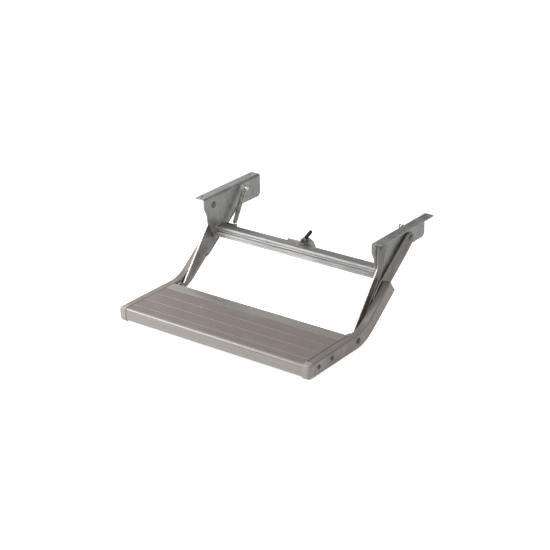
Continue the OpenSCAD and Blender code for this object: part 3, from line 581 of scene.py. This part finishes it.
def bracket(side):
    """Folded bracket with a slotted flange and a plate that runs straight down to its tip."""
    low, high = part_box("bracket_" + side)
    sign = SIDES[side]
    inner = low.x if sign > 0 else -high.x
    flange_w = high.x - low.x
    half = high.y
    beam_low, beam_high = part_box("cross_beam")
    axis = Vector((inner + FOLD_R, -FOLD_R))

    def place(y, v, t):
        r = FOLD_R - SHEET_T * t
        a = math.pi / 2 * (1 + min(max(v / FOLD_R, 0), 1))
        x = axis.x + r * math.cos(a) + max(-v, 0)
        return Vector((sign * x, y, axis.y + r * math.sin(a) - max(v - FOLD_R, 0)))

    def on_plate(y, z, radius=0.0):
        return y, FOLD_R + axis.y - z, radius

    def plate_hole(y, z, radius):
        return hole(on_plate(y, z)[:2], radius)

    def pin_hole(node, radius):
        spot = middle(node)
        return plate_hole(spot.y, spot.z, radius + HOLE_GAP)

    neck = middle("front_pivot_pin_" + side).y - NECK_AHEAD
    back = beam_high.y
    plate = outline([
        (-half, FOLD_R, 0), on_plate(-half, -PLATE_H * 0.45, 0.018),
        on_plate(neck, -PLATE_H * 0.76, 0.024), on_plate(neck + 0.001, -PLATE_H - 0.004, 0.012),
        on_plate(beam_low.y - 0.0125, -TIP_DROP + 0.014, 0.008),
        on_plate(beam_low.y - 0.007, -TIP_DROP, 0.006), on_plate(back + 0.0005, -TIP_DROP, 0.006),
        on_plate(back + 0.0035, -TIP_DROP + 0.017, 0.01), on_plate(0.008, -PLATE_H, 0.02),
        on_plate(half, -PLATE_H, 0.012), (half, FOLD_R, 0)])
    rivets_low, rivets_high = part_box("beam_rivets_" + side)
    rivet_z = (rivets_low.z + rivets_high.z) / 2
    rivet_head = (rivets_high.z - rivets_low.z) / 2
    holes = [pin_hole("front_pivot_pin_" + side, PIVOT_R),
             pin_hole("rear_pivot_pin_" + side, PIVOT_R),
             pin_hole("spring_pin_" + side, SPRING_PIN_R)]
    holes += [plate_hole(y, rivet_z, RIVET_R + HOLE_GAP)
              for y in (rivets_low.y + rivet_head, rivets_high.y - rivet_head)]
    holes += [plate_hole(half - CORNER_HOLE_IN, CORNER_HOLE_UP - PLATE_H, CORNER_HOLE_R),
              plate_hole(*MIDDLE_HOLE)]
    edge = FOLD_R - flange_w
    flange = outline([(-half, edge, 0.004), (half, edge, 0.004), (half, 0, 0), (-half, 0, 0)])
    slots = [hole((y, FOLD_R - SLOT_INSET), SLOT_R, SLOT_LEN - 2 * SLOT_R)
             for y in (SLOT_END - half, half - SLOT_END)]
    bends = [FOLD_R * k / FOLD_STEPS for k in range(FOLD_STEPS + 1)]
    fold = [[[Vector((y, v)) for y, v in ((-half, a), (half, a), (half, b), (-half, b))]]
            for a, b in zip(bends, bends[1:])]
    verts, faces = sheet([[flange, *slots], [plate, *holes], *fold], place)
    new_piece("bracket_sheet_" + side, verts, faces, "bracket_paint", "frame", "bracket_" + side,
              SHARP_ANGLE)


def rear_link(side):
    """Flat rear link, whose upper edge shows its thickness."""
    sign = SIDES[side]
    pivot, foot = middle("rear_pivot_pin_" + side).yz, middle("toggle_rivet_" + side).yz
    post = middle("spring_post_" + side).yz
    along = (foot - pivot).normalized()
    across = Vector((-along.y, along.x))
    length = (foot - pivot).length
    inner = min(abs(v.x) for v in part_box("rear_link_" + side))

    def on_link(s, p, radius):
        return *(pivot + s * along + p * across), radius

    top, end, rise = REAR_TOP_R, REAR_FOOT_R, REAR_RISE
    shape = outline([
        on_link(-top, top, top * 0.99), on_link(-top, -top * 0.7, top * 0.6),
        on_link(top * 0.4, -rise, top * 0.7), on_link(length - end * 1.5, -rise, 0.015),
        on_link(length + end, -end, end * 0.95), on_link(length + end, end, end * 0.99),
        on_link((post - pivot).dot(along) / 2, end, 0.03)])
    holes = [hole(pivot, PIVOT_R + HOLE_GAP), hole(foot, TOGGLE_R + HOLE_GAP),
             hole(post, SPRING_PIN_R + HOLE_GAP)]
    verts, faces = sheet([[shape, *holes]],
                         lambda y, z, t: Vector((sign * (inner + SHEET_T * t), y, z)))
    new_piece("rear_link_sheet_" + side, verts, faces, "link_zinc", "rear_links",
              "rear_link_" + side, SHARP_ANGLE)


def assist_spring(side):
    """Tension spring from the bracket's pin to the rear link's post, hooked at both ends."""
    out_x = middle("assist_spring_" + side).x
    lean = math.copysign(ASSIST_LEAN / 2, out_x)
    top = Vector((out_x + lean, *middle("spring_pin_" + side).yz))
    foot = Vector((out_x - lean, *middle("spring_post_" + side).yz))
    length = (foot - top).length
    axis = (foot - top) / length
    off = axis.cross(Vector((1, 0, 0))).normalized()
    out = off.cross(axis)
    run = EYE_TO_COIL + ASSIST_EYE_R
    turns = round((length - 2 * run) / ASSIST_PITCH)

    def hook(centre, sign, slack=0.0):
        """Points round an eye that is longer by the slack, ending on the spring's axis."""
        angles = [math.radians(a) for a in HOOK_ANGLES]
        return [centre + ASSIST_EYE_R * (sign * math.sin(a) * axis + math.cos(a) * off)
                - (sign * slack * axis if math.sin(a) < 0 else Vector()) for a in angles]

    points = hook(top, 1)
    steps = turns * POINTS_PER_TURN
    for i in range(steps + 1):
        t = i / steps
        turn = 2 * math.pi * turns * t
        ends = min(i, steps - i) / (ASSIST_END_TURNS * POINTS_PER_TURN)
        radius = ASSIST_COIL_R * min(1.0, ASSIST_END_SHARE + (1 - ASSIST_END_SHARE) * ends)
        points.append(top + axis * (run + (length - 2 * run) * t)
                      + radius * (math.cos(turn) * out + math.sin(turn) * off))
    points += reversed(hook(foot, -1, ASSIST_SLACK))
    new_piece("wire_spring_" + side, *wire(points, ASSIST_WIRE_R), "spring_steel", "springs",
              "assist_spring_" + side)


def torsion_spring():
    """Coil on the lever's pin, with a leg down to the beam and one beside the grip's rod."""
    low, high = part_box("torsion_spring")
    pin = middle("latch_pin")
    first = (low.y + high.y) / 2 - TORSION_PITCH * TORSION_TURNS / 2

    def at(angle, y):
        a = math.radians(angle)
        return Vector((pin.x + TORSION_COIL_R * math.cos(a), y,
                       pin.z + TORSION_COIL_R * math.sin(a)))

    last = first + TORSION_PITCH * TORSION_TURNS
    sweep = 360 * TORSION_TURNS + 180 - (90 + GRIP_ANGLE)
    steps = TORSION_TURNS * POINTS_PER_TURN
    coil = [at(180 - sweep * i / steps, last - (last - first) * i / steps)
            for i in range(steps + 1)]
    points = [coil[0] - Vector((0, 0, TORSION_FOOT)), *coil, coil[-1] + ROD * TORSION_ARM]
    new_piece("wire_torsion_spring", *wire(points, TORSION_WIRE_R), "dark_fastener", "frame",
              "torsion_spring")


def lever_grip():
    """Ribbed sleeve pushed over the rod of the latch lever, with a rounded tip."""
    low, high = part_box("lever_grip")
    centre, radius = (low + high) / 2, (high.y - low.y) / 2
    across, out = Vector((-ROD.z, 0, ROD.x)), Vector((0, 1, 0))
    start = -(high.z - low.z - 2 * radius * ROD.x) / (2 * ROD.z)
    run = GRIP_STRETCH - 2 * start
    path = [(0, radius * GRIP_BORE), (0, radius * GRIP_RIM), (GRIP_RIM_T, radius)]
    for k in range(GRIP_RIBS):
        at = GRIP_PLAIN + (run - radius - GRIP_PLAIN) * k / GRIP_RIBS
        path += [(at, radius), (at + GRIP_GROOVE / 2, radius - GRIP_GROOVE_DEPTH),
                 (at + GRIP_GROOVE, radius)]
    path += [(run - radius * (1 - math.sin(a)), radius * math.cos(a))
             for a in map(math.radians, range(0, 90, 15))]
    verts = [centre + ROD * (start + s) + r * (math.cos(a) * across + math.sin(a) * out)
             for s, r in path for a in around(ROUND_SIDES)]
    new_piece("ribbed_lever_grip", verts, skin(len(path), ROUND_SIDES), "sleeve_rubber", "lever",
              "lever_grip", GRIP_SHARP_ANGLE)


def end_cap(side):
    """Moulded cap over the ends of nose and arm, proud of both, with a rounded outer corner."""
    low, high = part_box("end_cap_" + side)
    sign = SIDES[side]
    inner, outer = sorted((abs(low.x), abs(high.x)))
    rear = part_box("side_arm_" + side)[0].y
    wide = outer + CAP_PROUD - inner
    steps = [(0.0, CAP_LIP), (CAP_LIP, 0.0)]
    steps += [(wide - CAP_CORNER_R * (1 - math.sin(a)), CAP_CORNER_R * (1 - math.cos(a)))
              for a in QUARTER_TURN]
    verts = []
    for x, inset in steps:
        front, top = low.y - CAP_PROUD + inset, high.z + CAP_PROUD - inset
        foot = low.z - CAP_FOOT_PROUD + inset
        radius = max(CAP_NOSE_R - inset, CAP_MIN_R)
        ring = [(rear, top)]
        ring += [(front + radius * (1 - math.sin(a)), top - radius * (1 - math.cos(a)))
                 for a in QUARTER_TURN]
        ring += [(front + radius * (1 - math.cos(a)), foot + radius * (1 - math.sin(a)))
                 for a in QUARTER_TURN]
        ring += [(rear, foot)]
        verts += [Vector((sign * (inner + x), y, z)) for y, z in ring]
    new_piece("moulded_cap_" + side, verts, skin(len(steps), len(ring)), "cap_plastic", "step",
              "end_cap_" + side, SHARP_ANGLE)


def screw(centre, length, sign):
    """Vertices and faces of a screw with a domed head and a six-sided socket, pointing inward."""
    path = [(-length, SCREW_SHANK_R * SCREW_POINT), (SCREW_TIP - length, SCREW_SHANK_R),
            (0.0, SCREW_SHANK_R)]
    path += [(SCREW_HEAD_T * h, SCREW_HEAD_R * r) for r, h in SCREW_DOME]
    verts = []

    def ring(x, radius, six=False):
        for a in around(ROUND_SIDES):
            r = radius
            if six:
                off = (a + math.pi / 6) % (math.pi / 3) - math.pi / 6
                r = radius * math.cos(math.pi / 6) / math.cos(off)
            verts.append(centre + Vector((sign * x, r * math.cos(a), r * math.sin(a))))

    for x, r in path:
        ring(x, r)
    ring(SCREW_HEAD_T, SOCKET_R, six=True)
    ring(SCREW_HEAD_T - SOCKET_DEPTH, SOCKET_R * SOCKET_FLOOR, six=True)
    return verts, skin(len(verts) // ROUND_SIDES, ROUND_SIDES)


def arm_screws(side):
    """Both screws of an arm, in place of their CAD solids."""
    low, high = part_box("arm_screws_" + side)
    sign = SIDES[side]
    length = high.x - low.x - SCREW_HEAD_T
    outer = (high.x if sign > 0 else low.x) - sign * SCREW_HEAD_T
    verts, faces = [], []
    for y in (low.y + SCREW_HEAD_R, high.y - SCREW_HEAD_R):
        v, f = screw(Vector((outer, y, (low.z + high.z) / 2)), length, sign)
        faces += [tuple(len(verts) + i for i in face) for face in f]
        verts += v
    new_piece("socket_screws_" + side, verts, faces, "dark_fastener", "step",
              "arm_screws_" + side, SHARP_ANGLE)


def add_floor():
    """Pale floor just under the arms, white to the camera except where a shadow falls."""
    low, _ = cad_box
    bpy.ops.mesh.primitive_plane_add(size=FLOOR_SIZE, location=(0, 0, low[2] - FLOOR_GAP))
    floor = bpy.context.object
    floor.name = "floor"
    f = Finish("floor_pale", 0.0, 0.9, specular=0.1)
    f.shader.inputs["Base Color"].default_value = FLOOR_COLOUR
    rays = f.add("LightPath").outputs
    seen = f.maths("MAXIMUM", rays["Is Camera Ray"], rays["Is Glossy Ray"])
    seen = f.maths("MAXIMUM", seen, rays["Is Transmission Ray"])
    glow = f.add("Emission", {"Color": WHITE, "Strength": f.scaled(seen, FLOOR_GLOW)})
    both = f.add("AddShader", {0: f.shader.outputs[0], 1: glow.outputs[0]})
    f.tree.links.new(both.outputs[0], f.tree.nodes["Material Output"].inputs["Surface"])
    paint(floor, f.material)


def add_world():
    """White all round to the camera and through glass, softer as light."""
    world = bpy.data.worlds.new("studio")
    world.use_nodes = True
    scene.world = world
    tree = world.node_tree
    rays = tree.nodes.new("ShaderNodeLightPath")
    seen = tree.nodes.new("ShaderNodeMath")
    seen.operation = "MAXIMUM"
    tree.links.new(rays.outputs["Is Camera Ray"], seen.inputs[0])
    tree.links.new(rays.outputs["Is Transmission Ray"], seen.inputs[1])
    strength = tree.nodes.new("ShaderNodeMapRange")
    strength.inputs["To Min"].default_value = WORLD_LIGHT
    strength.inputs["To Max"].default_value = 1.0
    tree.links.new(seen.outputs[0], strength.inputs["Value"])
    tree.links.new(strength.outputs[0], tree.nodes["Background"].inputs["Strength"])
    tree.nodes["Background"].inputs["Color"].default_value = WHITE


def add_lights():
    """Soft boxes aimed at the middle of the step, the strongest from the front left."""
    for name, (place, size, power) in LAMPS.items():
        lamp = bpy.data.lights.new(name, "AREA")
        lamp.shape = "SQUARE"
        lamp.size = size
        lamp.energy = power
        obj = bpy.data.objects.new(name, lamp)
        obj.location = place
        obj.rotation_euler = (Vector(AIM) - Vector(place)).to_track_quat("-Z", "Y").to_euler()
        scene.collection.objects.link(obj)


def add_camera():
    camera = bpy.data.cameras.new("photo_camera")
    camera.sensor_width = SENSOR_MM
    camera.lens = LENS_MM
    camera.clip_end = CLIP_END
    obj = bpy.data.objects.new("photo_camera", camera)
    turn = Matrix((CAMERA_RIGHT, CAMERA_UP, CAMERA_BACK)).transposed()
    obj.matrix_world = Matrix.Translation(EYE) @ turn.to_4x4()
    scene.collection.objects.link(obj)
    scene.camera = obj


add_camera()
dress_nodes()
for side in SIDES:
    bracket(side)
    rear_link(side)
    assist_spring(side)
    arm_screws(side)
    end_cap(side)
torsion_spring()
lever_grip()
add_floor()
add_world()
add_lights()
scene.view_settings.view_transform = "Standard"
